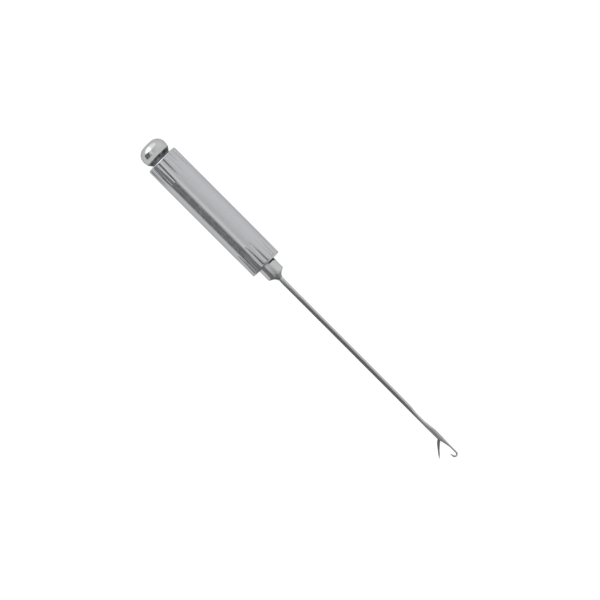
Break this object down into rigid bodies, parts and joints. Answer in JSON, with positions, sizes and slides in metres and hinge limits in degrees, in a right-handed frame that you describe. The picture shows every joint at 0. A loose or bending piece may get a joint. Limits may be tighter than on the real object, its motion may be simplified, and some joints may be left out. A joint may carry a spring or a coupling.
{
  "type": "latch-hook bait needle",
  "caption": "Hand tool with a fluted round metal handle, a round end knob and a long thin needle that ends in a hook closed by a pivoting latch.",
  "frame": {"origin": "middle of the smooth grip, on the long axis of the handle", "axes": "+X along the needle, from the handle towards the hook; +Z along the latch's rivet; the hook opens towards -Y"},
  "size_m": [0.1265, 0.0102, 0.0102],
  "materials": {
    "handle_tube": "satin nickel plate, finely brushed along the handle",
    "handle_caps": "satin nickel plate",
    "knob": "polished, with faint turning marks",
    "hidden_stud": "plain machined steel",
    "nose": "polished, with faint turning marks",
    "needle_wire": "drawn wire, bright, with fine lines along its length",
    "latch_steel": "stamped spring steel, slightly darker",
    "rivet_steel": "peened head"
  },
  "bodies": {
    "tool": {"handle_sleeve": "handle_tube", "rear_cap": "handle_caps", "end_knob": "knob", "knob_stud": "hidden_stud", "front_cap": "handle_caps", "nose_ferrule": "nose", "needle": "needle_wire", "latch_rivet": "rivet_steel"},
    "latch": {"latch": "latch_steel"}
  },
  "joints": [
    {"name": "latch_pivot", "type": "hinge", "parent": "tool", "child": "latch", "pos_m": [0.0918, -0.00012, 0], "axis": [0, 0, 1], "range_deg": [-113, 31]}
  ]
}
